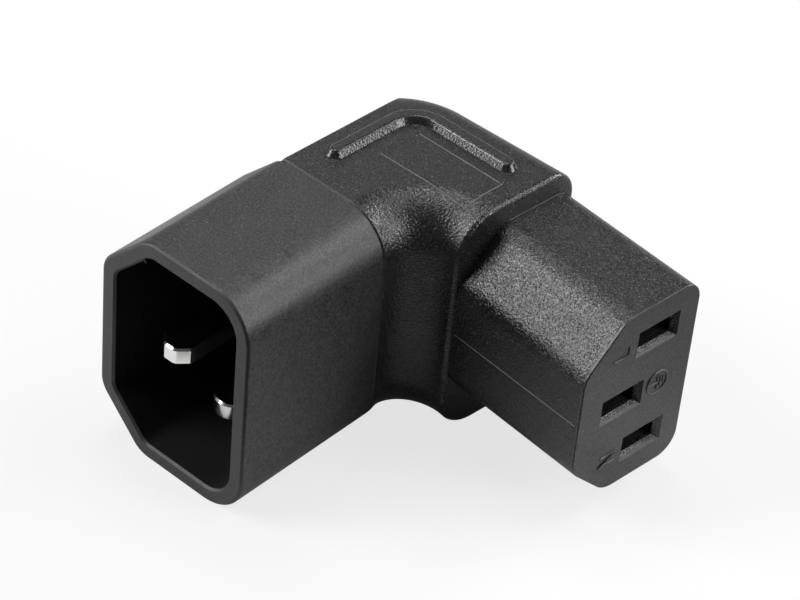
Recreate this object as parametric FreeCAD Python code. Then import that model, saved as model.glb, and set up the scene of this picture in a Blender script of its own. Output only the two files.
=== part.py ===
import FreeCAD, Part
import math
import os

from FreeCAD import Vector

os.makedirs("parts", exist_ok=True)

# Frame: origin where the plug axis and the outlet axis cross, dropped to the underside.
# Z is up, the plug's rim faces -Y, the outlet's face looks along +X, turned by outlet_turn.

# Both arms
half_height = 14.05
outlet_turn = -5.1
pin_width = 4.0
pin_thick = 2.0
pole_rise = 7.0
pole_shift = 2.0

# Plug shell
rim_reach = 34.3
joint_reach = 15.1
plug_half_width = 10.12
plug_chamfer = 5.8
plug_corner = 5.2
plug_vertex = 3.0
plug_wall = 1.85
floor_thick = 2.2
floor_round = 0.5
cavity_corner = 3.35
cavity_vertex = 1.6
rim_round = 0.35
rim_bevel = 0.25
neck_inset = 3.0
neck_groove = 0.9
neck_flange = 1.4
neck_length = 5.2
neck_vertex = 1.0
joint_bevel = 0.15

# Pins
earth_recess = 1.5
neutral_recess = 5.0
line_recess = 6.0
earth_bevel_side = 1.2
earth_bevel_long = 1.35
earth_bevel_round = 0.9
live_nose = 1.9
pin_bevel = 0.2
tab_width = 3.0
tab_length = 3.4
rivet_diameter = 1.8
rivet_head = 0.5
rivet_spread = 0.45

# Elbow
elbow_end = 16.0
elbow_left = 8.55
elbow_right = 7.8
elbow_inner_round = 4.15
elbow_outer_round = 10.2
elbow_lead = 0.5
elbow_edge_enter = 5.5
elbow_edge_corner = 5.9
elbow_edge_leave = 4.8
elbow_edge_end = 4.7
elbow_edge_outer = 3.5
elbow_end_round = 0.5
elbow_joint_x = 8.4
elbow_corner_x = 7.26
elbow_corner_y = 5.6

# Slopes on the elbow's outer side
slope_top_joint = 4.19
slope_top_corner = 3.36
slope_span = 16.0
slope_drop = 6.05
slope_run = 4.26

# Grip ridge on the elbow's top
ridge_base = 2.1
ridge_crest = 1.15
ridge_height = 0.75
ridge_round = 0.35
ridge_x = -0.72
ridge_y = 0.8
ridge_bend = 3.6
ridge_front = 4.65
ridge_stop = 11.9

# Outlet
face_reach = 34.16
outlet_half_width = 7.87
outlet_centre = -0.26
outlet_half_height = 11.45
outlet_chamfer = 5.3
outlet_corner = 2.6
outlet_vertex = 3.2
outlet_face_round = 0.12
face_skin = 1.2
mouth_width = 5.87
mouth_height = 3.3
mouth_depth = 0.68
slot_width = 4.62
slot_height = 2.4

# Contact carrier and its cap
jacket = 1.6
carrier_length = 14.36
carrier_front_wall = 1.8
carrier_corner = 1.0
carrier_vertex = 0.5
chamber_width = 5.0
chamber_clear = 0.1
cap_thick = 1.4
cap_ledge = 1.0

# Contacts
strip = 0.6
contact_width = 3.6
jaw_gap = 0.1
jaw_heel = 1.9
jaw_lip = 4.0
jaw_front_gap = 0.56
jaw_half_back = 1.7
jaw_half_grip = 0.95
jaw_half_mouth = 1.5
jaw_heel_round = 0.2
jaw_bend_round = 1.5
jaw_grip_round = 2.4
link_width = 3.0
link_inner_bend = 0.6
link_outer_bend = 3.0

# Pole, offset from the connector's centre, height from mid-plane, recess of the pin's tip
POLES = (
    ("line", pole_shift, pole_rise, line_recess),
    ("neutral", pole_shift, -pole_rise, neutral_recess),
    ("earth", -pole_shift, 0.0, earth_recess),
)
TURN = math.radians(outlet_turn)
CLOSE = 1e-4
PAST = 1.0


def turned(x, y, z):
    """A point given along the outlet's own axes, in the part's frame."""
    return Vector(x * math.cos(TURN) - y * math.sin(TURN), x * math.sin(TURN) + y * math.cos(TURN), z)


def bend_points(before, here, after, radius):
    """Start, middle and end of the arc that rounds the corner here."""
    back = (before - here).normalize()
    ahead = (after - here).normalize()
    half = back.getAngle(ahead) / 2
    reach = radius / math.tan(half)
    middle = (back + ahead).normalize() * (radius / math.sin(half) - radius)
    return here + back * reach, here + middle, here + ahead * reach


def rounded_wire(corners, place):
    """Closed wire through (u, v, radius) corners, each put in space by place(u, v)."""
    count = len(corners)
    bends = []
    for i in range(count):
        u, v, radius = corners[i]
        before = corners[i - 1]
        after = corners[(i + 1) % count]
        here = Vector(u, v, 0)
        if radius <= 0:
            bends.append((here, here, here))
            continue
        before = Vector(before[0], before[1], 0)
        after = Vector(after[0], after[1], 0)
        bends.append(bend_points(before, here, after, radius))
    edges = []
    for i in range(count):
        first, middle, last = [place(p.x, p.y) for p in bends[i]]
        if corners[i][2] > 0:
            edges.append(Part.Arc(first, middle, last).toShape())
        following = bends[(i + 1) % count][0]
        after = place(following.x, following.y)
        if last.distanceToPoint(after) > CLOSE:
            edges.append(Part.makeLine(last, after))
    return Part.Wire(edges)


def prism(corners, place, travel):
    return Part.Face(rounded_wire(corners, place)).extrude(travel)


def edges_where(shape, test):
    """Edges whose every vertex and middle satisfies the test."""
    found = []
    for edge in shape.Edges:
        middle = edge.valueAt((edge.FirstParameter + edge.LastParameter) / 2)
        points = [v.Point for v in edge.Vertexes] + [middle]
        if all(test(p) for p in points):
            found.append(edge)
    return found


def roll_chain(shape, chain, radii):
    """Fillet along a chain of edges running towards +X and +Y, with a radius at each of its vertices."""
    chain = sorted(chain, key=lambda e: e.CenterOfMass.x + e.CenterOfMass.y)
    doc = FreeCAD.newDocument()
    base = doc.addObject("Part::Feature", "base")
    base.Shape = shape
    roll = doc.addObject("Part::Fillet", "roll")
    roll.Base = base
    listed = []
    for i, edge in enumerate(chain):
        index = [e.isSame(edge) for e in shape.Edges].index(True) + 1
        start = edge.valueAt(edge.FirstParameter)
        stop = edge.valueAt(edge.LastParameter)
        ends = (radii[i], radii[i + 1])
        if start.x + start.y > stop.x + stop.y:
            ends = ends[::-1]
        listed.append((index, ends[0], ends[1]))
    roll.Edges = listed
    doc.recompute()
    rolled = roll.Shape.copy()
    FreeCAD.closeDocument(doc.Name)
    return rolled


# Plug shell: hollow shroud, closed by a floor, with a grooved neck behind for the overmould


def plug_section(inset, corner, vertex):
    """Plug outline set in by inset: chamfers on the -X side, rounded corners on the +X side."""
    w = plug_half_width - inset
    h = half_height - inset
    c = plug_chamfer - inset * (2 - math.sqrt(2))
    return [
        (-w + c, -h, vertex), (w, -h, corner), (w, h, corner),
        (-w + c, h, vertex), (-w, h - c, vertex), (-w, -h + c, vertex),
    ]


def plug_prism(section, y0, y1):
    return prism(section, lambda u, v: Vector(u, y0, half_height + v), Vector(0, y1 - y0, 0))


def make_plug_shell():
    body = plug_prism(plug_section(0, plug_corner, plug_vertex), -rim_reach, -joint_reach)
    front = edges_where(body, lambda p: abs(p.y + rim_reach) < CLOSE)
    body = body.makeFillet(rim_round, front)
    back = edges_where(body, lambda p: abs(p.y + joint_reach) < CLOSE)
    body = body.makeChamfer(joint_bevel, back)
    floor = -joint_reach - floor_thick
    cavity = plug_prism(plug_section(plug_wall, cavity_corner, cavity_vertex), -rim_reach - PAST, floor)
    floor_edges = edges_where(cavity, lambda p: abs(p.y - floor) < CLOSE)
    body = body.cut(cavity.makeFillet(floor_round, floor_edges))
    inner = edges_where(body, lambda p: abs(p.y + rim_reach) < CLOSE
                        and abs(p.x) < plug_half_width - (plug_wall + rim_round) / 2
                        and abs(p.z - half_height) < half_height - (plug_wall + rim_round) / 2)
    body = body.makeChamfer(rim_bevel, inner)
    body = body.fuse(make_neck()).removeSplitter()
    for pole, x, z, recess in POLES:
        body = body.cut(pin_bar(x, z, -rim_reach, tab_y(0)))
    return body


def make_neck():
    """Neck with a flange at its end, so that the overmould can't be pulled off."""
    flange = plug_section(neck_inset, plug_corner - neck_inset, neck_vertex)
    waist = plug_section(neck_inset + neck_groove, 0, 0)
    first = plug_prism(flange, -joint_reach, -joint_reach + neck_flange)
    middle = plug_prism(waist, -joint_reach, tab_y(0))
    last = plug_prism(flange, tab_y(0) - neck_flange, tab_y(0))
    return first.fuse([middle, last])


# Pins: plated bars with a shaped nose, a thinner tab behind and a rivet raised on it


def pin_bar(x, z, y0, y1):
    corner = Vector(x - pin_width / 2, y0, half_height + z - pin_thick / 2)
    return Part.makeBox(pin_width, y1 - y0, pin_thick, corner)


def tab_y(part):
    """Position along the tab behind the neck, from 0 at its root to 1 at its end."""
    return -joint_reach + neck_length + part * tab_length


def pin_nose(x, tip, pole):
    """Corners of the pin's nose: bevelled on the longer earth pin, full round on the others."""
    w = pin_width / 2
    if pole == "earth":
        side = w - earth_bevel_side
        back = tip + earth_bevel_long
        r = earth_bevel_round
        return [(x - w, back, r), (x - side, tip, r), (x + side, tip, r), (x + w, back, r)]
    r = min(live_nose, 0.99 * w)
    return [(x - w, tip, r), (x + w, tip, r)]


def make_pin(pole, x, z, recess):
    tip = -rim_reach + recess
    w = pin_width / 2
    low = half_height + z - pin_thick / 2
    outline = [(x - w, tab_y(0), 0)] + pin_nose(x, tip, pole) + [(x + w, tab_y(0), 0)]
    pin = prism(outline, lambda u, v: Vector(u, v, low), Vector(0, 0, pin_thick))
    nose_end = tip + 2 * max(earth_bevel_long, w)
    nose = edges_where(pin, lambda p: p.y < nose_end
                       and min(abs(p.z - low), abs(p.z - low - pin_thick)) < CLOSE)
    pin = pin.makeChamfer(pin_bevel, nose)
    tab = Part.makeBox(tab_width, tab_length, pin_thick - strip, Vector(x - tab_width / 2, tab_y(0), low))
    shank = Part.makeCylinder(rivet_diameter / 2, pin_thick, Vector(x, tab_y(0.5), low))
    head = Part.makeCone(rivet_diameter / 2 + rivet_spread, rivet_diameter / 2, rivet_head,
                         Vector(x, tab_y(0.5), low + pin_thick))
    return pin.fuse([tab, shank, head]).removeSplitter()


# Elbow: moulded body whose inner edges are rolled, whose outer side slopes, with a grip ridge


def make_elbow():
    top = 2 * half_height
    far = turned(elbow_end, elbow_right, 0)
    near = turned(elbow_end, -elbow_left, 0)
    inner_y = (-elbow_left + plug_half_width * math.sin(TURN)) / math.cos(TURN)
    inner_point = Vector(plug_half_width, inner_y, 0)
    bend = math.pi / 2 - TURN
    joint_room = (inner_y + joint_reach - elbow_lead) / math.tan(bend / 2)
    end_room = (near.distanceToPoint(inner_point) - elbow_end_round) / math.tan(bend / 2)
    inner_round = min(elbow_inner_round, 0.99 * joint_room, 0.99 * end_room)
    leg = inner_round * (math.tan(bend / 2) - math.tan(bend / 4))
    leave = inner_point + turned(leg, 0, 0)
    plan = [
        (-elbow_joint_x, -joint_reach, 0), (-elbow_corner_x, elbow_corner_y, elbow_outer_round),
        (far.x, far.y, 0), (near.x, near.y, 0),
        (leave.x, leave.y, inner_round), (plug_half_width, inner_y - leg, inner_round),
        (plug_half_width, elbow_lead - joint_reach, 0), (plug_half_width, -joint_reach, 0),
    ]
    body = prism(plan, lambda u, v: Vector(u, v, 0), Vector(0, 0, top))

    def inside(p, z):
        beside = p.x > plug_half_width - CLOSE and p.y < inner_y + CLOSE and p.x < near.x + CLOSE
        return abs(p.z - z) < CLOSE and beside

    def outside(p):
        return min(abs(p.z), abs(p.z - top)) < CLOSE and p.y > 0 and p.x < far.x + CLOSE

    upper = edges_where(body, lambda p: inside(p, top))
    body = body.makeFillet(plug_corner, upper[:1])
    lower = edges_where(body, lambda p: inside(p, 0))
    body = roll_chain(body, lower, [plug_corner, plug_corner, elbow_edge_enter, elbow_edge_corner,
                                    elbow_edge_leave, elbow_edge_end])
    body = body.makeFillet(elbow_edge_outer, edges_where(body, outside))
    along = turned(1, 0, 0)
    end = edges_where(body, lambda p: abs(p.dot(along) - elbow_end) < CLOSE)
    body = body.makeFillet(elbow_end_round, end)
    for side in (1, -1):
        body = body.cut(outer_slope(side))
    front = edges_where(body, lambda p: abs(p.y + joint_reach) < CLOSE)
    return body.makeChamfer(joint_bevel, front)


def slope_lean():
    """How far the slope's top edge moves towards +X for each millimetre along +Y."""
    return (slope_top_joint - slope_top_corner) / slope_span


def outer_slope(side):
    """Wedge that leaves the sloped outer side of the elbow, above (1) or below (-1) mid-height."""
    lean = slope_lean()
    x0 = -slope_top_joint - PAST * lean
    length = 2 * slope_span
    clear = -2 * elbow_joint_x
    profile = [
        (x0, half_height, 0), (x0 - slope_run, half_height - slope_drop, 0),
        (clear, half_height - slope_drop, 0), (clear, half_height + PAST, 0),
        (x0 + slope_run / slope_drop * PAST, half_height + PAST, 0),
    ]
    return prism(profile, lambda u, v: Vector(u, -joint_reach - PAST, half_height + side * v),
                 Vector(lean * length, length, 0))


def make_ridge():
    """Raised bead swept along the slope's edge and round the corner of the elbow's top, ends rounded."""
    top = 2 * half_height
    corner = Vector(ridge_x, ridge_y, top)
    back = ridge_front - joint_reach - ridge_y
    start = corner + Vector(slope_lean() * back, back, 0)
    stop = Vector(ridge_stop, ridge_y, top)
    bend_in, bend_middle, bend_out = bend_points(start, corner, stop, ridge_bend)
    path = Part.Wire([
        Part.makeLine(start, bend_in), Part.Arc(bend_in, bend_middle, bend_out).toShape(),
        Part.makeLine(bend_out, stop),
    ])
    along = (corner - start).normalize()
    across = Vector(along.y, -along.x, 0)
    rise = Vector(0, 0, 1)
    b = ridge_base / 2
    c = ridge_crest / 2
    side = [(b, -ridge_height, 0), (b, 0, 0), (c, ridge_height, ridge_round)]
    section = side + [(-u, v, r) for u, v, r in side[::-1]]
    outline = rounded_wire(section, lambda u, v: start + across * u + rise * v)
    bead = path.makePipeShell([outline], True, False)
    half = [(0, -ridge_height, 0)] + side + [(0, ridge_height, 0)]
    ends = []
    for point in (start, stop):
        profile = Part.Face(rounded_wire(half, lambda u, v: point + across * u + rise * v))
        ends.append(profile.revolve(point, rise, 360))
    return bead.fuse(ends).removeSplitter()


# Outlet block: the jacket round the contacts, chamfered towards the inside of the elbow


def outlet_section(inset, corner, vertex):
    w = outlet_half_width - inset
    h = outlet_half_height - inset
    c = outlet_chamfer - inset * (2 - math.sqrt(2))
    m = outlet_centre
    return [
        (m - w + c, -h, vertex), (m + w, -h, corner), (m + w, h, corner),
        (m - w + c, h, vertex), (m - w, h - c, vertex), (m - w, -h + c, vertex),
    ]


def outlet_plane(x):
    return lambda u, v: turned(x, u, half_height + v)


def outlet_prism(section, x0, x1):
    return prism(section, outlet_plane(x0), turned(x1 - x0, 0, 0))


def box_section(y, z, width, height):
    w = width / 2
    h = height / 2
    return [(y - w, z - h, 0), (y + w, z - h, 0), (y + w, z + h, 0), (y - w, z + h, 0)]


def make_outlet_block():
    back = elbow_end - 2 * elbow_end_round
    block = outlet_prism(outlet_section(0, outlet_corner, outlet_vertex), back, face_reach)
    along = turned(1, 0, 0)
    face = edges_where(block, lambda p: abs(p.dot(along) - face_reach) < CLOSE)
    return block.makeFillet(outlet_face_round, face)


def slot_mouth(y, z):
    """Bevelled entry of one slot and the straight slot behind it."""
    wires = []
    for depth in (-PAST * mouth_depth, mouth_depth):
        part = (mouth_depth - depth) / mouth_depth
        width = slot_width + part * (mouth_width - slot_width)
        height = slot_height + part * (mouth_height - slot_height)
        wires.append(rounded_wire(box_section(y, z, width, height), outlet_plane(face_reach - depth)))
    funnel = Part.makeLoft(wires, True, True)
    bore = box_section(y, z, slot_width, slot_height)
    straight = outlet_prism(bore, carrier_front() - CLOSE, face_reach)
    return funnel.fuse(straight)


# Contact carrier: hard block with three chambers, closed behind by a cap


def carrier_front():
    return face_reach - face_skin


def carrier_back():
    return carrier_front() - carrier_length


def carrier_envelope():
    section = outlet_section(jacket, carrier_corner, carrier_vertex)
    return outlet_prism(section, carrier_back(), carrier_front())


def make_carrier():
    carrier = carrier_envelope()
    back = carrier_back() + cap_thick
    front = carrier_front() - carrier_front_wall
    height = 2 * (jaw_half_back + strip + chamber_clear)
    for pole, y, z, recess in POLES:
        carrier = carrier.cut(outlet_prism(box_section(y, z, chamber_width, height), back, front))
        slot = box_section(y, z, slot_width, slot_height)
        carrier = carrier.cut(outlet_prism(slot, front - PAST, carrier_front() + PAST))
    return carrier.cut(cap_plate())


def cap_plate():
    section = outlet_section(jacket + cap_ledge, 0, 0)
    return outlet_prism(section, carrier_back(), carrier_back() + cap_thick)


def make_cap():
    cap = cap_plate()
    for pole, y, z, recess in POLES:
        passage = box_section(y, z + link_rise(), link_width, strip)
        cap = cap.cut(outlet_prism(passage, carrier_back() - PAST, carrier_back() + cap_thick + PAST))
    return cap


# Contacts: one strip each, folded to a spring jaw, with a flat link back to its pin


def link_rise():
    """Height of the link's middle above the middle of its pin."""
    return pin_thick / 2 - strip / 2


def jaw_back():
    return carrier_back() + cap_thick + jaw_gap


def jaw_outline():
    """Corners of the folded jaw seen from the side: base, bowed grips and flared mouth."""
    back = jaw_back()
    bend = back + jaw_heel
    mouth = carrier_front() - carrier_front_wall - jaw_front_gap
    grip = mouth - jaw_lip
    inner = [(back + strip, jaw_half_back, jaw_heel_round), (bend, jaw_half_back, jaw_bend_round),
             (grip, jaw_half_grip, jaw_grip_round + strip), (mouth, jaw_half_mouth, 0)]
    outer = [(back, jaw_half_back + strip, jaw_heel_round + strip),
             (bend, jaw_half_back + strip, jaw_bend_round + strip),
             (grip, jaw_half_grip + strip, jaw_grip_round), (mouth, jaw_half_mouth + strip, 0)]
    inner_low = [(x, -v, r) for x, v, r in inner]
    outer_low = [(x, -v, r) for x, v, r in outer]
    return inner[::-1] + inner_low + outer_low[::-1] + outer


def make_contact(shift, rise):
    mid = half_height + rise
    jaw = prism(jaw_outline(), lambda u, v: turned(u, shift - contact_width / 2, mid + v),
                turned(0, contact_width, 0))
    low = mid + link_rise() - strip / 2
    half = link_width / 2

    def crossing(x, side):
        """Where the link's edge along the plug, at x, meets its edge along the outlet."""
        return (shift + side + x * math.sin(TURN)) / math.cos(TURN)

    near = turned(jaw_back() + strip, shift - half, 0)
    far = turned(jaw_back() + strip, shift + half, 0)
    plan = [
        (shift + half, tab_y(0), 0), (shift + half, crossing(shift + half, -half), link_inner_bend),
        (near.x, near.y, 0), (far.x, far.y, 0),
        (shift - half, crossing(shift - half, half), link_outer_bend), (shift - half, tab_y(0), 0),
    ]
    link = prism(plan, lambda u, v: Vector(u, v, low), Vector(0, 0, strip))
    eye = Part.makeCylinder(rivet_diameter / 2, 3 * strip, Vector(shift, tab_y(0.5), low - strip))
    return jaw.fuse(link).removeSplitter().cut(eye)


# Assembly: the overmould is cast round everything else

shell = make_plug_shell()
pins = {}
contacts = {}
for pole, shift, rise, recess in POLES:
    pins[pole] = make_pin(pole, shift, rise, recess)
    contacts[pole] = make_contact(shift, rise)

overmould = make_elbow().fuse([make_outlet_block(), make_ridge()]).removeSplitter()
for pole, shift, rise, recess in POLES:
    overmould = overmould.cut(slot_mouth(shift, rise))
for piece in [shell, carrier_envelope()] + list(pins.values()) + list(contacts.values()):
    overmould = overmould.cut(piece)

solids = {
    "plug_shell": shell,
    "contact_carrier": make_carrier(),
    "carrier_cap": make_cap(),
    "overmould": overmould,
}
for pole in pins:
    solids[pole + "_pin"] = pins[pole]
    solids[pole + "_contact"] = contacts[pole]
for node, shape in solids.items():
    shape.Solids[0].exportStep("parts/" + node + ".step")
    print(node, len(shape.Solids), shape.isValid(), round(shape.Volume, 1))
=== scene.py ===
import math

import bpy
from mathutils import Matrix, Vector


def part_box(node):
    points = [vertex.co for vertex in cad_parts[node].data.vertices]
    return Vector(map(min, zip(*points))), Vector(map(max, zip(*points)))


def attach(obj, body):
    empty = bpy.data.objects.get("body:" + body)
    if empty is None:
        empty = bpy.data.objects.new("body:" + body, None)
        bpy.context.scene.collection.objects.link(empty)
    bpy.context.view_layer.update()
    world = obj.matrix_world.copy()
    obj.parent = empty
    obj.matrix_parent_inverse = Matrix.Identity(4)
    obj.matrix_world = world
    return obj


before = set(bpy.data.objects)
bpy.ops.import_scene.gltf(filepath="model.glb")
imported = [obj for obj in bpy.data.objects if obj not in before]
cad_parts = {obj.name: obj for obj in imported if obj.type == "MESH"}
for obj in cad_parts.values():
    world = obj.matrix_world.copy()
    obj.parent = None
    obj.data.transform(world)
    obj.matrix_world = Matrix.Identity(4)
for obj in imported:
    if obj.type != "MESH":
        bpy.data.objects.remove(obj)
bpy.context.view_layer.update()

# Plug shell: the hood of the inlet end, moulded in hard black plastic, with a neck that the overmould grips.
# The tool's walls were blasted, which leaves a fine satin grain, with painted shade in its pits, painted
# glints on its peaks and in dots, and specks of lint. The rim's face is painted darker, as painted shade, and
# is duller than the walls, and the inside lies in the dark and is painted plain black, as painted shade.

hood_low, hood_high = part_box("plug_shell")
RIM_Y = hood_low.y
MID = (hood_low.z + hood_high.z) / 2
HOOD_WALL = 0.00185
MOUTH_CORNER = 0.00335
# The painted shade of the inside, near black, goes on into the wall and fades there, out of sight
MOUTH_SLANT = 0.0165
INTO_WALL = 0.00075
INTO_LEFT_WALL = 0.00053
WALL_FADE = 0.0004
# How far behind the rim's front the inside starts and is full, and the rim's finish ends and has faded
MOUTH_EDGE = 0.00012
MOUTH_DEEP = 0.0004
RIM_FACE = 0.0001
RIM_FADED = 0.0003


class Tree:
    """Short way to add and join nodes in a shader or geometry tree."""

    def __init__(self, tree):
        self.tree = tree

    def add(self, kind, settings=None, **inputs):
        """A node with its settings and inputs. An input goes by its name, or by _ and its number."""
        node = self.tree.nodes.new(kind)
        for key, value in (settings or {}).items():
            setattr(node, key, value)
        for key, value in inputs.items():
            self.set(node.inputs[int(key[1:]) if key[0] == "_" else key.replace("_", " ")], value)
        return node

    def set(self, socket, value):
        """Join a socket to another one, or give it a plain value."""
        if isinstance(value, bpy.types.NodeSocket):
            self.tree.links.new(value, socket)
        else:
            socket.default_value = value

    def place(self):
        """The object coordinates of the piece."""
        return self.add("ShaderNodeTexCoord").outputs["Object"]

    def axes(self, vector):
        """The X, Y and Z of a vector."""
        return self.add("ShaderNodeSeparateXYZ", Vector=vector).outputs

    def math(self, operation, a, b=0.0, c=0.0):
        return self.add("ShaderNodeMath", {"operation": operation}, _0=a, _1=b, _2=c).outputs[0]

    def noise(self, vector, scale, detail, roughness):
        node = self.add("ShaderNodeTexNoise", Vector=vector, Scale=scale, Detail=detail, Roughness=roughness)
        return node.outputs[0]

    def ramp(self, value, low, high, start=0.0, stop=1.0):
        """Smooth step of a value from low to high, put out between start and stop."""
        node = self.add("ShaderNodeMapRange", {"interpolation_type": "SMOOTHSTEP"},
                        _0=value, _1=low, _2=high, _3=start, _4=stop)
        return node.outputs[0]

    def blend(self, factor, a, b):
        """A colour between a, where the factor is 0, and b, where it is 1."""
        return self.add("ShaderNodeMix", {"data_type": "RGBA"}, _0=factor, _6=a, _7=b).outputs[2]

    def effect(self, group, **inputs):
        """What a shader group puts out for the given inputs."""
        return self.add("ShaderNodeGroup", {"node_tree": group}, **inputs).outputs

    def surface(self, shade, gloss, depth, height, **more):
        """The shader of a finish, with a bump of the given depth, joined to the material's output."""
        bump = self.add("ShaderNodeBump", Strength=1.0, Distance=depth, Height=height)
        shader = self.add("ShaderNodeBsdfPrincipled", Base_Color=shade, Roughness=gloss,
                          Normal=bump.outputs[0], **more)
        self.add("ShaderNodeOutputMaterial", Surface=shader.outputs[0])


def new_group(name, inputs, outputs):
    """A shader group of plain values, with its tree, the values it is given and those taken from it."""
    group = bpy.data.node_groups.new(name, "ShaderNodeTree")
    for label, value in inputs.items():
        socket = group.interface.new_socket(label, in_out="INPUT", socket_type="NodeSocketFloat")
        socket.default_value = value
    for label in outputs:
        group.interface.new_socket(label, in_out="OUTPUT", socket_type="NodeSocketFloat")
    t = Tree(group)
    return group, t, t.add("NodeGroupInput").outputs, t.add("NodeGroupOutput").inputs


def make_satin_grain():
    """The fine tooth of a blasted mould wall, the cloudy sheen it leaves, and a mask for painted shade and
    glints on it.
    """
    inputs = {"Grain": 9000.0, "Cloud Scale": 420.0}
    group, t, given, taken = new_group("satin_grain", inputs, ["Height", "Cloud", "Pit Shade And Peak Glint"])
    place = t.place()
    tooth = t.noise(place, given["Grain"], detail=2.0, roughness=0.6)
    cloud = t.noise(place, given["Cloud Scale"], detail=3.0, roughness=0.55)
    t.set(taken["Height"], tooth)
    t.set(taken["Cloud"], t.ramp(cloud, low=0.3, high=0.7))
    # Painted shade and glints: low where the tooth is low, for painted shade in its pits, high on its peaks
    # for painted glints
    t.set(taken["Pit Shade And Peak Glint"], t.ramp(tooth, low=0.36, high=0.68))
    return group


def make_painted_glints_and_lint():
    """Round specks of about one size, in a given share of the cells of a random pattern: painted glints, and
    specks of lint.
    """
    inputs = {"Cells": 900.0, "Size": 0.00006, "Share": 0.06, "Smallest": 0.4}
    group, t, given, taken = new_group("painted_glints_and_lint", inputs, ["Mask"])
    cells = t.add("ShaderNodeTexVoronoi", Vector=t.place(), Scale=given["Cells"]).outputs
    chance = t.add("ShaderNodeSeparateColor", Color=cells["Color"]).outputs
    kept = t.math("LESS_THAN", chance["Red"], given["Share"])
    radius = t.math("MULTIPLY", given["Size"], given["Cells"])
    radius = t.math("MULTIPLY", radius, t.math("ADD", chance["Green"], given["Smallest"]))
    speck = t.math("LESS_THAN", cells["Distance"], radius)
    t.set(taken["Mask"], t.math("MULTIPLY", kept, speck))
    return group


satin_grain = make_satin_grain()
painted_glints_and_lint = make_painted_glints_and_lint()


def grey(level):
    """A colour without a hue."""
    return (level, level, level, 1.0)


# The pit, peak, glint, rim and inside colours are painted shade and painted glints; the cloud and speck
# colours are its own
HOOD_PIT_SHADE = grey(0.003)
HOOD_PEAK_GLINT = grey(0.050)
HOOD_CLOUD = grey(0.034)
HOOD_PAINTED_GLINT = grey(0.080)
HOOD_SPECK = grey(0.17)
HOOD_RIM_PAINTED_SHADE = grey(0.012)
HOOD_INSIDE_PAINTED_SHADE = grey(0.014)
HOOD_CLOUD_SHARE = 0.3
HOOD_RIM_SHARE = 0.8
HOOD_ROUGH = 0.40
HOOD_RIM_ROUGH = 0.12
HOOD_INSIDE_ROUGH = 0.4
HOOD_INSIDE_METALLIC = 0.75
HOOD_GRAIN_DEPTH = 0.00003
CLOUD_ROUGH = 0.05
PLASTIC_IOR = 1.6
SPECKS = {"Cells": 900.0, "Size": 0.00006}
# Pale dots painted on as glints, a painted highlight; the specks above are lint
PAINTED_GLINTS = {"Cells": 3600.0, "Size": 0.00007}


def new_material(name):
    """A material with nothing in it, and its tree."""
    material = bpy.data.materials.new(name)
    material.use_nodes = True
    material.node_tree.nodes.clear()
    return material, Tree(material.node_tree)


def mouth_mask(t, axes):
    """1 on the hood's inside, where painted shade goes; its section has two round corners on the right and
    two slants on the left.
    """
    round_wall = MOUTH_CORNER + INTO_WALL
    left_wall = hood_low.x + HOOD_WALL - INTO_LEFT_WALL
    rise = t.math("ABSOLUTE", t.math("SUBTRACT", axes["Z"], MID))
    slant = t.math("SUBTRACT", rise, axes["X"])
    right = t.math("SUBTRACT", axes["X"], hood_high.x - HOOD_WALL - MOUTH_CORNER)
    right = t.math("MAXIMUM", right, 0.0)
    up = t.math("SUBTRACT", rise, MID - HOOD_WALL - MOUTH_CORNER)
    up = t.math("MAXIMUM", up, 0.0)
    corner = t.math("SQRT", t.math("MULTIPLY_ADD", right, right, t.math("MULTIPLY", up, up)))
    mask = t.ramp(corner, round_wall + WALL_FADE, round_wall)
    mask = t.math("MULTIPLY", mask, t.ramp(axes["X"], left_wall - WALL_FADE, left_wall))
    mask = t.math("MULTIPLY", mask, t.ramp(slant, MOUTH_SLANT + WALL_FADE, MOUTH_SLANT))
    return t.math("MULTIPLY", mask, t.ramp(axes["Y"], RIM_Y + MOUTH_EDGE, RIM_Y + MOUTH_DEEP))


def make_hood_plastic():
    """Satin plastic with painted shade and painted glints on its grain, and lint; rim and inside painted dark
    as painted shade.
    """
    material, t = new_material("hood_plastic")
    axes = t.axes(t.place())
    inside = mouth_mask(t, axes)
    rim = t.ramp(axes["Y"], RIM_Y + RIM_FADED, RIM_Y + RIM_FACE)
    grain = t.effect(satin_grain, Grain=4200.0)
    painted_glints = t.effect(painted_glints_and_lint, **PAINTED_GLINTS, Share=0.16)
    specks = t.effect(painted_glints_and_lint, **SPECKS, Share=0.04)
    # Painted shade in the pits of the grain and painted glints on its peaks
    shade = t.blend(grain["Pit Shade And Peak Glint"], HOOD_PIT_SHADE, HOOD_PEAK_GLINT)
    shade = t.blend(t.math("MULTIPLY", grain["Cloud"], HOOD_CLOUD_SHARE), shade, HOOD_CLOUD)
    # Painted glints as pale dots; the specks that follow are lint
    shade = t.blend(painted_glints["Mask"], shade, HOOD_PAINTED_GLINT)
    shade = t.blend(specks["Mask"], shade, HOOD_SPECK)
    # Painted shade: the rim's face is coloured darker than the walls
    shade = t.blend(t.math("MULTIPLY", rim, HOOD_RIM_SHARE), shade, HOOD_RIM_PAINTED_SHADE)
    # Painted shade: the inside is coloured near black because it lies in the dark
    shade = t.blend(inside, shade, HOOD_INSIDE_PAINTED_SHADE)
    duller = t.math("MAXIMUM", t.math("MULTIPLY", inside, HOOD_INSIDE_ROUGH),
                    t.math("MULTIPLY", rim, HOOD_RIM_ROUGH))
    gloss = t.math("ADD", duller, t.math("MULTIPLY_ADD", grain["Cloud"], CLOUD_ROUGH, HOOD_ROUGH))
    # On a near black colour, Metallic does no more than take the plastic's gloss away
    metallic = t.math("MULTIPLY", inside, HOOD_INSIDE_METALLIC)
    t.surface(shade, gloss, HOOD_GRAIN_DEPTH, grain["Height"], IOR=PLASTIC_IOR, Metallic=metallic)
    return material


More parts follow.
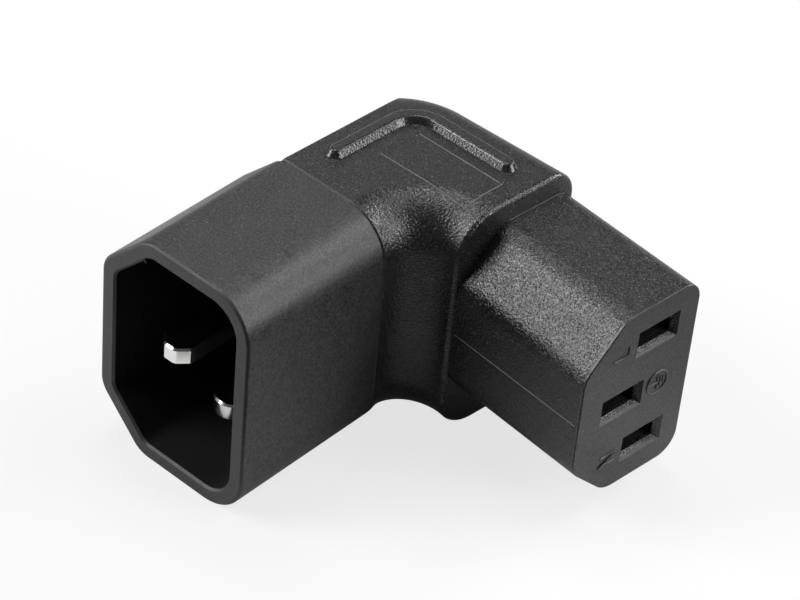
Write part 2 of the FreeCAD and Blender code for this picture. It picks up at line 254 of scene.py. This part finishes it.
def dress(node, material):
    """Give a CAD node one material all over."""
    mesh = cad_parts[node].data
    mesh.materials.clear()
    mesh.materials.append(material)


hood_plastic = make_hood_plastic()
dress("plug_shell", hood_plastic)

# Pins: three flat brass bars, nickel plated and pressed through the hood's floor.
# The bar was drawn, so fine marks run along it, and the plating has soft patches of tarnish.

MARK_DEPTH = 0.0000015


def make_drawn_marks():
    """Fine marks that run along a drawn or rolled metal, and the soft patches of its tarnish."""
    inputs = {"Stretch X": 1.0, "Stretch Y": 1.0, "Mark Scale": 7000.0, "Tarnish Scale": 700.0}
    group, t, given, taken = new_group("drawn_marks", inputs, ["Marks", "Tarnish"])
    place = t.place()
    stretch = t.add("ShaderNodeCombineXYZ", X=given["Stretch X"], Y=given["Stretch Y"], Z=1.0)
    run = t.add("ShaderNodeMapping", Vector=place, Scale=stretch.outputs[0])
    t.set(taken["Marks"], t.noise(run.outputs[0], given["Mark Scale"], detail=3.0, roughness=0.6))
    t.set(taken["Tarnish"], t.noise(place, given["Tarnish Scale"], detail=3.0, roughness=0.6))
    return group


drawn_marks = make_drawn_marks()


def marked_metal(name, dull, bright, rough, rougher, **marks):
    """Metal between a dull and a bright colour, whose marks make it rougher."""
    material, t = new_material(name)
    worn = t.effect(drawn_marks, **marks)
    shade = t.blend(worn["Tarnish"], dull, bright)
    gloss = t.math("MULTIPLY_ADD", worn["Marks"], rougher, rough)
    t.surface(shade, gloss, MARK_DEPTH, worn["Marks"], Metallic=1.0)
    return material


plated_pin = marked_metal("plated_pin", dull=(0.78, 0.77, 0.75, 1.0), bright=(0.94, 0.93, 0.91, 1.0),
                          rough=0.08, rougher=0.12, Stretch_Y=0.05, Mark_Scale=7000.0, Tarnish_Scale=700.0)
for pin in ("line_pin", "neutral_pin", "earth_pin"):
    dress(pin, plated_pin)

# Contacts: three spring jaws folded from brass strip, each riveted to its pin's tab by an eye.
# The strip was rolled, which left marks on it, and has soft patches of tarnish; its dark brown is painted
# shade, for the shade inside the closed block.

# Painted shade: the brass is coloured a dark brown because it lies in the dark behind the slots
painted_dark_spring_strip = marked_metal("painted_dark_spring_strip", dull=(0.16, 0.13, 0.08, 1.0), bright=(0.34, 0.27, 0.15, 1.0),
                            rough=0.3, rougher=0.2, Stretch_X=0.06, Mark_Scale=6000.0, Tarnish_Scale=500.0)
for contact in ("line_contact", "neutral_contact", "earth_contact"):
    dress(contact, painted_dark_spring_strip)

# Contact carrier and cap: plain black mouldings that hold the contacts in their chambers.
# The overmould closes round both, so only the carrier's walls show, through the slots of the outlet.

CARRIER_DARK = grey(0.010)
CARRIER_PALE = grey(0.016)
CARRIER_ROUGH = 0.5
CARRIER_CLOUD_ROUGH = 0.1
CARRIER_GRAIN_DEPTH = 0.000002


def make_carrier_black():
    """Plain hard plastic with a faint cloudy grain."""
    material, t = new_material("carrier_black")
    grain = t.effect(satin_grain, Grain=7000.0)
    shade = t.blend(grain["Cloud"], CARRIER_DARK, CARRIER_PALE)
    gloss = t.math("MULTIPLY_ADD", grain["Cloud"], CARRIER_CLOUD_ROUGH, CARRIER_ROUGH)
    t.surface(shade, gloss, CARRIER_GRAIN_DEPTH, grain["Height"])
    return material


carrier_black = make_carrier_black()
for moulding in ("contact_carrier", "carrier_cap"):
    dress(moulding, carrier_black)

# Overmould: elbow, flange and outlet block, cast in one shot of soft black plastic round all the rest.
# Its mould was spark eroded, so the skin is rippled and glints, with painted shade in its pits, painted
# glints on its peaks and in dots, and specks of lint. The elbow's top is a little smoother, the outlet's face
# is plain, and the edge at the hood's joint is dull.

OUTLET_TURN = math.radians(-5.1)
FACE_X = 0.03416
TOP_Z = hood_high.z
JOINT_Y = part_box("overmould")[0].y
# Where each finish starts and is full, behind the face, by the elbow's top and behind the hood's joint
FACE_FROM = 0.0004
FACE_FULL = 0.0001
CROWN_FROM = 0.0003
CROWN_FULL = 0.00002
CROWN_RIDGE = 0.0001
SEAM_FROM = 0.00022
SEAM_FULL = 0.00012
CROWN_SMOOTH = 0.3

# The pit, peak and glint colours are painted shade and painted glints; the speck colour is lint
SKIN_PIT_SHADE = grey(0.006)
SKIN_PEAK_GLINT = grey(0.030)
SKIN_PAINTED_GLINT = grey(0.080)
SKIN_SPECK = grey(0.22)
FACE_PIT_SHADE = grey(0.002)
FACE_PEAK_GLINT = grey(0.052)
SEAM_SHADE = grey(0.010)
SEAM_SHARE = 0.7
SKIN_ROUGH = 0.19
FACE_ROUGH = 0.16
SEAM_ROUGH = 0.3
SKIN_DEPTH = 0.00009
GRAIN_ON_SKIN = 0.05


def make_eroded_skin():
    """The ripple and tooth that a spark eroded mould leaves, with a height about 0, and a mask for painted
    shade and glints on it.
    """
    inputs = {"Ripple": 2600.0, "Tooth": 7000.0}
    group, t, given, taken = new_group("eroded_skin", inputs, ["Height", "Pit Shade And Peak Glint"])
    place = t.place()
    ripple = t.noise(place, given["Ripple"], detail=1.0, roughness=0.5)
    tooth = t.noise(place, given["Tooth"], detail=1.0, roughness=0.5)
    noise_mean = 0.5
    tooth_share = 0.3
    height = t.math("MULTIPLY_ADD", tooth, tooth_share, ripple)
    t.set(taken["Height"], t.math("SUBTRACT", height, noise_mean * (1 + tooth_share)))
    # Painted shade and glints: low in the pits of ripple and tooth, for painted shade, high on their peaks
    # for painted glints
    mean = t.math("MULTIPLY", t.math("ADD", tooth, ripple), 0.5)
    t.set(taken["Pit Shade And Peak Glint"], t.ramp(mean, low=0.38, high=0.64))
    return group


eroded_skin = make_eroded_skin()


def make_soft_plastic():
    """Rippled plastic with painted shade and painted glints on its grain, and lint, plain on the outlet's
    face.
    """
    material, t = new_material("soft_plastic")
    place = t.place()
    axes = t.axes(place)
    outlet = t.add("ShaderNodeMapping", Vector=place, Rotation=(0.0, 0.0, -OUTLET_TURN))
    face = t.ramp(t.axes(outlet.outputs[0])["X"], FACE_X - FACE_FROM, FACE_X - FACE_FULL)
    top = t.ramp(axes["Z"], TOP_Z - CROWN_FROM, TOP_Z - CROWN_FULL, stop=CROWN_SMOOTH)
    ridge = t.ramp(axes["Z"], TOP_Z, TOP_Z + CROWN_RIDGE, stop=CROWN_SMOOTH)
    smooth = t.math("MAXIMUM", face, t.math("ADD", top, ridge))
    seam = t.ramp(axes["Y"], JOINT_Y + SEAM_FROM, JOINT_Y + SEAM_FULL)
    skin = t.effect(eroded_skin, Ripple=4300.0, Tooth=9000.0)
    grain = t.effect(satin_grain, Grain=5000.0)
    painted_glints = t.effect(painted_glints_and_lint, **PAINTED_GLINTS, Share=0.18)
    specks = t.effect(painted_glints_and_lint, **SPECKS, Share=0.07)
    # Painted shade in the pits of the skin and painted glints on its peaks, then painted glints as pale dots
    shade = t.blend(skin["Pit Shade And Peak Glint"], SKIN_PIT_SHADE, SKIN_PEAK_GLINT)
    shade = t.blend(painted_glints["Mask"], shade, SKIN_PAINTED_GLINT)
    # The outlet's face: painted shade in the pits of its grain and painted glints on its peaks
    shade = t.blend(face, shade, t.blend(grain["Pit Shade And Peak Glint"], FACE_PIT_SHADE, FACE_PEAK_GLINT))
    shade = t.blend(specks["Mask"], shade, SKIN_SPECK)
    shade = t.blend(t.math("MULTIPLY", seam, SEAM_SHARE), shade, SEAM_SHADE)
    gloss = t.math("MULTIPLY_ADD", grain["Cloud"], CLOUD_ROUGH, SKIN_ROUGH)
    gloss = t.math("MULTIPLY_ADD", face, FACE_ROUGH, gloss)
    gloss = t.math("MULTIPLY_ADD", seam, SEAM_ROUGH, gloss)
    height = t.math("MULTIPLY", skin["Height"], t.math("SUBTRACT", 1.0, smooth))
    height = t.math("MULTIPLY_ADD", grain["Height"], GRAIN_ON_SKIN, height)
    t.surface(shade, gloss, SKIN_DEPTH, height, IOR=PLASTIC_IOR)
    return material


dress("overmould", make_soft_plastic())

# Parting flash: a thin line of the overmould's plastic along both sides of the outlet.
# It was cast where the two halves of the mould met; its pale colour is partly rubbed wear and partly a
# painted highlight.

FLASH_RADIUS = 0.00007
FLASH_FROM = 0.0164
FLASH_TO = 0.0337
OUTLET_CENTRE = -0.00026
OUTLET_HALF = 0.00787
BEAD_SIDES = 8
PALE_LINE_ROUGH = 0.40
PALE_LINE_ROUGHER = 0.15
PALE_LINE_DEPTH = 0.00001


def pale_line_plastic(name, dull, bright):
    """The overmould's plastic on a fine raised line, coloured pale: a painted highlight, and on the flash
    partly rubbed wear.
    """
    material, t = new_material(name)
    skin = t.effect(eroded_skin, Ripple=2500.0, Tooth=6000.0)
    shade = t.blend(skin["Pit Shade And Peak Glint"], dull, bright)
    gloss = t.math("MULTIPLY_ADD", skin["Pit Shade And Peak Glint"], PALE_LINE_ROUGHER, PALE_LINE_ROUGH)
    t.surface(shade, gloss, PALE_LINE_DEPTH, skin["Height"], IOR=PLASTIC_IOR)
    return material


def make_bead_tree():
    """A tree that sweeps a closed round bead along each path, and the identifiers of its two inputs."""
    tree = bpy.data.node_groups.new("cast_bead", "GeometryNodeTree")
    tree.interface.new_socket("Geometry", in_out="INPUT", socket_type="NodeSocketGeometry")
    radius = tree.interface.new_socket("Radius", in_out="INPUT", socket_type="NodeSocketFloat")
    material = tree.interface.new_socket("Material", in_out="INPUT", socket_type="NodeSocketMaterial")
    tree.interface.new_socket("Geometry", in_out="OUTPUT", socket_type="NodeSocketGeometry")
    t = Tree(tree)
    given = t.add("NodeGroupInput").outputs
    section = t.add("GeometryNodeCurvePrimitiveCircle", Resolution=BEAD_SIDES, Radius=given["Radius"])
    swept = t.add("GeometryNodeCurveToMesh", Curve=given["Geometry"],
                  Profile_Curve=section.outputs[0], Fill_Caps=True)
    real = t.add("GeometryNodeRealizeInstances", Geometry=swept.outputs[0])
    coated = t.add("GeometryNodeSetMaterial", Geometry=real.outputs[0], Material=given["Material"])
    t.add("NodeGroupOutput", Geometry=coated.outputs[0])
    return tree, radius.identifier, material.identifier


bead_tree, bead_radius, bead_material = make_bead_tree()


def cast_bead(name, paths, radius, material):
    """One piece of beads along the given paths, each a list of points and whether it closes."""
    curve = bpy.data.curves.new(name + "_path", "CURVE")
    curve.dimensions = "3D"
    for points, closed in paths:
        spline = curve.splines.new("POLY")
        spline.points.add(len(points) - 1)
        for knot, point in zip(spline.points, points):
            knot.co = (*point, 1.0)
        spline.use_cyclic_u = closed
    path = bpy.data.objects.new(name + "_path", curve)
    bpy.context.collection.objects.link(path)
    modifier = path.modifiers.new("bead", "NODES")
    modifier.node_group = bead_tree
    modifier[bead_radius] = radius
    modifier[bead_material] = material
    mesh = bpy.data.meshes.new_from_object(path.evaluated_get(bpy.context.evaluated_depsgraph_get()))
    bpy.data.objects.remove(path)
    mesh.name = name
    mesh.shade_smooth()
    bead = bpy.data.objects.new(name, mesh)
    bpy.context.collection.objects.link(bead)
    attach(bead, "root")


def outlet_point(x, y, z):
    """A point in the part's frame, from its place along the outlet's own axes and above mid-height."""
    cosine = math.cos(OUTLET_TURN)
    sine = math.sin(OUTLET_TURN)
    return Vector((x * cosine - y * sine, x * sine + y * cosine, MID + z))


# Pale colours of the fine lines: on the flash partly rubbed wear and partly painted highlight, on the rest
# painted highlight
pale_flash = pale_line_plastic("pale_flash", dull=grey(0.06), bright=grey(0.14))
# Painted highlight: the signs, the crest line and the foot flash are coloured pale to show as light lines
pale_highlight_line = pale_line_plastic("pale_highlight_line", dull=grey(0.045), bright=grey(0.09))

flash = []
for side in (OUTLET_CENTRE - OUTLET_HALF, OUTLET_CENTRE + OUTLET_HALF):
    flash.append(([outlet_point(FLASH_FROM, side, 0.0), outlet_point(FLASH_TO, side, 0.0)], False))
cast_bead("parting_flash", flash, FLASH_RADIUS, pale_flash)

# Insert joint: the fine outline that a loose block in the mould left on the elbow's top.
# It was cast with the overmould and follows its skin, from the flat down over the rolled edge.

INSERT_CORNERS = ((0.0023, -0.0018), (0.01345, -0.0018), (0.01315, -0.0070), (0.00182, -0.00715))
INSERT_STEPS = 24


def seated(place):
    """The point of the overmould's skin straight under a place in plan."""
    above = Vector((place.x, place.y, 2 * TOP_Z))
    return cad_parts["overmould"].ray_cast(above, (0, 0, -1))[1]


bpy.context.view_layer.update()
corners = [Vector(corner) for corner in INSERT_CORNERS]
insert = []
for start, stop in zip(corners, corners[1:]):
    insert += [seated(start.lerp(stop, i / INSERT_STEPS)) for i in range(INSERT_STEPS)]
insert.append(seated(corners[-1]))
# The insert joint's pale colour is partly rubbed wear and partly a painted highlight
cast_bead("insert_joint", [(insert, False)], FLASH_RADIUS, pale_flash)

# Crest line: the outer edge of the grip ridge's crest, along both legs and round the bend between them.
# It is cast with the overmould, and its pale colour is a painted highlight of that edge.

CREST_RADIUS = 0.00008
CREST_HALF = 0.000545
CREST_Z = 0.028765
RIDGE_BEND = 0.0036
RIDGE_FRONT_X = -0.0013
RIDGE_FRONT_Y = -0.01045
RIDGE_STOP_X = 0.0119
RIDGE_Y = 0.0008
BEND_X = 0.0027
BEND_Y = RIDGE_Y - RIDGE_BEND
FRONT_BEARING = 250
LEG_BEARING = 177
BACK_BEARING = 90
STOP_BEARING = -10


def crest_arc(x, y, radius, first, last, steps):
    """Points on the crest's height about (x, y), from one bearing in degrees to another."""
    turns = [math.radians(first + (last - first) * i / steps) for i in range(steps + 1)]
    return [Vector((x + radius * math.cos(turn), y + radius * math.sin(turn), CREST_Z)) for turn in turns]


crest = crest_arc(RIDGE_FRONT_X, RIDGE_FRONT_Y, CREST_HALF, FRONT_BEARING, LEG_BEARING, steps=6)
crest += crest_arc(BEND_X, BEND_Y, RIDGE_BEND + CREST_HALF, LEG_BEARING, BACK_BEARING, steps=16)
crest += crest_arc(RIDGE_STOP_X, RIDGE_Y, CREST_HALF, BACK_BEARING, STOP_BEARING, steps=8)
cast_bead("ridge_crest_highlight", [(crest, False)], CREST_RADIUS, pale_highlight_line)

# Flange foot flash: a hair of plastic in the corner where the outlet's top leaves the flange.
# It was cast in the gap between two blocks of the mould, and ends a little way round the outlet's edge.

FOOT_RADIUS = 0.00005
FOOT_PROUD = 0.00001
FOOT_START = -0.0016
FOOT_TURNS = (0, 10, 20, 30)
FLANGE_X = 0.0160
OUTLET_TOP = 0.01145
OUTLET_CORNER = 0.0026
CORNER_Y = OUTLET_CENTRE + OUTLET_HALF - OUTLET_CORNER
CORNER_Z = OUTLET_TOP - OUTLET_CORNER
FOOT_ROUND = OUTLET_CORNER + FOOT_PROUD

foot = [outlet_point(FLANGE_X, FOOT_START, OUTLET_TOP + FOOT_PROUD)]
for turn in map(math.radians, FOOT_TURNS):
    foot_y = CORNER_Y + FOOT_ROUND * math.sin(turn)
    foot_z = CORNER_Z + FOOT_ROUND * math.cos(turn)
    foot.append(outlet_point(FLANGE_X, foot_y, foot_z))
# Painted highlight: the hair is coloured pale for the light along the flange's foot
cast_bead("flange_foot_flash", [(foot, False)], FOOT_RADIUS, pale_highlight_line)

# Rim nib: a short whisker of flash at the hood's upper left corner, just behind the rim's face.
# It is the hood's own plastic, pressed out where the tool's core meets its wall.

NIB_RADIUS = 0.00012
NIB_ROOT = Vector((-0.00442, RIM_Y + NIB_RADIUS, 0.02580))
NIB_TIP = Vector((-0.00405, RIM_Y + NIB_RADIUS, 0.02535))

cast_bead("rim_nib", [([NIB_ROOT, NIB_TIP], False)], NIB_RADIUS, hood_plastic)

# Terminal signs: L, N and the earth sign, raised as fine beads beside the slots of the outlet's face.
# They were cut into the mould and cast with the overmould, and stand proud by half of the bead. Their pale
# colour is a painted highlight.

SIGN_RADIUS = 0.00014
LETTER_L = ((-0.00419, 0.0065), (-0.00215, 0.00652), (-0.00212, 0.00753))
LETTER_N = ((-0.00196, -0.00762), (-0.0042, -0.00762), (-0.00194, -0.00646), (-0.0041, -0.00642))
EARTH_Y = 0.00302
EARTH_Z = 0.0001
EARTH_RADIUS = 0.00142
EARTH_STEPS = 40
EARTH_BARS = 3
BAR_HALF = 0.00085
BAR_SHORTER = 0.00025
BAR_STEP = 0.00042


def face_point(y, z):
    """A point on the outlet's face."""
    return outlet_point(FACE_X, y, z)


signs = [([face_point(y, z) for y, z in letter], False) for letter in (LETTER_L, LETTER_N)]
turns = [math.tau * i / EARTH_STEPS for i in range(EARTH_STEPS)]
earth_ring = [face_point(EARTH_Y + EARTH_RADIUS * math.cos(turn), EARTH_Z + EARTH_RADIUS * math.sin(turn))
              for turn in turns]
signs.append((earth_ring, True))
signs.append(([face_point(EARTH_Y - EARTH_RADIUS, EARTH_Z), face_point(EARTH_Y, EARTH_Z)], False))
for i in range(EARTH_BARS):
    bar_y = EARTH_Y + BAR_STEP * i
    bar_half = BAR_HALF - BAR_SHORTER * i
    signs.append(([face_point(bar_y, EARTH_Z - bar_half), face_point(bar_y, EARTH_Z + bar_half)], False))
cast_bead("terminal_signs", signs, SIGN_RADIUS, pale_highlight_line)

# Table: a plain pale sheet that the adapter lies on, white to the camera, which keeps the shadow.
# The adapter's surfaces see it glow a little, most in front of the hood, as a painted reflection. To the
# right and behind, the sheet is painted dark for them, as painted shade, as if it ended there.

TABLE_SIDE = 3.0
SHEET_PALE = grey(0.76)
SHEET_PAINTED_DARK = grey(0.05)
SHEET_WAY = (0.743, -0.669)
SHEET_EDGE = 0.0355
SHEET_GONE = 0.0390
BACK_EDGE = 0.004
BACK_GONE = 0.022
BACK_SHARE = 0.5
FRONT_FROM = 0.001
FRONT_FULL = 0.008
FRONT_GLOW = 0.28
MIRRORED_GLOW = 0.03
WHITE_SHARE = 0.75
WHITE = grey(1.0)


def rays(t):
    """Masks of the rays that come from the camera itself, and of those by way of a gloss or a glass."""
    path = t.add("ShaderNodeLightPath").outputs
    return path["Is Camera Ray"], t.math("MAXIMUM", path["Is Glossy Ray"], path["Is Transmission Ray"])


def along(t, axes, way):
    """How far a place lies along a level direction."""
    return t.math("MULTIPLY_ADD", axes["X"], way[0], t.math("MULTIPLY", axes["Y"], way[1]))


def make_pale_table():
    """Paper that gives the camera three parts of plain white to one of its own light and shade."""
    material, t = new_material("pale_table")
    camera_ray, mirror_ray = rays(t)
    axes = t.axes(t.place())
    front = t.ramp(axes["Y"], RIM_Y + FRONT_FROM, RIM_Y - FRONT_FULL)
    # Painted shade: to all but the camera the sheet is dark to the right and behind
    painted_dark = t.math("MAXIMUM", t.ramp(along(t, axes, SHEET_WAY), SHEET_EDGE, SHEET_GONE),
                    t.ramp(axes["Y"], BACK_EDGE, BACK_GONE, stop=BACK_SHARE))
    painted_dark = t.math("MULTIPLY", painted_dark, t.math("SUBTRACT", 1.0, camera_ray))
    # Painted reflection: the sheet glows for mirrored rays, most in front of the hood
    mirrored_glow = t.math("MULTIPLY", mirror_ray, t.math("MULTIPLY_ADD", front, FRONT_GLOW, MIRRORED_GLOW))
    mirrored_glow = t.math("MULTIPLY", mirrored_glow, t.math("SUBTRACT", 1.0, painted_dark))
    share = t.math("MULTIPLY_ADD", camera_ray, WHITE_SHARE, mirrored_glow)
    paper = t.add("ShaderNodeBsdfDiffuse", Color=t.blend(painted_dark, SHEET_PALE, SHEET_PAINTED_DARK))
    white = t.add("ShaderNodeEmission", Color=WHITE, Strength=1.0)
    sheet = t.add("ShaderNodeMixShader", _0=share, _1=paper.outputs[0], _2=white.outputs[0])
    t.add("ShaderNodeOutputMaterial", Surface=sheet.outputs[0])
    return material


bpy.ops.mesh.primitive_plane_add(size=TABLE_SIDE, location=(0.0, 0.0, 0.0))
table = bpy.context.object
table.name = "table"
table.data.materials.append(make_pale_table())

# Room: white to the camera and dim to the adapter, so that the soft boxes shape it.
# A low stretch of wall behind the adapter is brighter, and shows only as a sheen on plastic and metal.

ROOM_LIGHT = 0.02
ROOM_SEEN = 0.98
ROOM_MIRRORED = 0.05
WALL_WAY = (-0.64, 0.77)
WALL_EDGE = 0.55
WALL_FULL = 0.85
WALL_TOP = 0.30
WALL_LOW = 0.08
WALL_SHEEN = 0.5


def fill_room(t):
    """The strength of the room's white light, by the kind of ray and where it goes."""
    camera_ray, mirror_ray = rays(t)
    axes = t.axes(t.add("ShaderNodeTexCoord").outputs["Generated"])
    wall = t.math("MULTIPLY", t.ramp(along(t, axes, WALL_WAY), WALL_EDGE, WALL_FULL),
                  t.ramp(axes["Z"], WALL_TOP, WALL_LOW))
    light = t.math("MULTIPLY_ADD", camera_ray, ROOM_SEEN, ROOM_LIGHT)
    light = t.math("MULTIPLY_ADD", mirror_ray, ROOM_MIRRORED, light)
    light = t.math("MULTIPLY_ADD", t.math("MULTIPLY", wall, mirror_ray), WALL_SHEEN, light)
    air = t.add("ShaderNodeBackground", Color=WHITE, Strength=light)
    t.add("ShaderNodeOutputWorld", Surface=air.outputs[0])


room = bpy.data.worlds.new("room")
bpy.context.scene.world = room
room.use_nodes = True
room.node_tree.nodes.clear()
fill_room(Tree(room.node_tree))

# Soft boxes: seven square panels at one distance from the adapter, all turned to its middle.
# Two stand on the right, two behind and two on the left, and one hangs overhead.

BOX_SIDE = 0.25
BOX_REACH = 0.6
BOX_AIM = Vector((0.008, -0.012, MID))


def soft_box(name, bearing, rise, power):
    """A panel at a bearing and a rise in degrees, of a power in watts."""
    lamp = bpy.data.lights.new(name, "AREA")
    lamp.shape = "SQUARE"
    lamp.size = BOX_SIDE
    lamp.energy = power
    box = bpy.data.objects.new(name, lamp)
    bpy.context.collection.objects.link(box)
    turn = math.radians(bearing)
    lift = math.radians(rise)
    way = Vector((math.cos(turn) * math.cos(lift), math.sin(turn) * math.cos(lift), math.sin(lift)))
    box.location = BOX_AIM + BOX_REACH * way
    box.rotation_euler = (-way).to_track_quat("-Z", "Y").to_euler()


soft_box("box_right", bearing=45, rise=50, power=0.71)
soft_box("box_right_low", bearing=20, rise=20, power=1.75)
soft_box("box_back", bearing=80, rise=25, power=2.2)
soft_box("box_far", bearing=135, rise=30, power=0.145)
soft_box("box_left_low", bearing=225, rise=8, power=1.9)
soft_box("box_left", bearing=225, rise=43, power=2.1)
soft_box("box_top", bearing=150, rise=74, power=1.1)

# Camera: above and in front, between the two arms, with a long lens.
# Its place, turn and lens were solved from the photo's edges together with the part's box forms.

CAMERA_PLACE = (0.162477, -0.201236, 0.222270)
CAMERA_TURN = (0.864924, -0.071139, 0.742915)

optics = bpy.data.cameras.new("camera")
optics.sensor_width = 36.0
optics.lens = 141.66
optics.shift_x = 0.0134
optics.shift_y = 0.0042
optics.clip_start = 0.01
camera = bpy.data.objects.new("camera", optics)
camera.location = CAMERA_PLACE
camera.rotation_euler = CAMERA_TURN
bpy.context.collection.objects.link(camera)
bpy.context.scene.camera = camera
bpy.context.scene.view_settings.view_transform = "Standard"
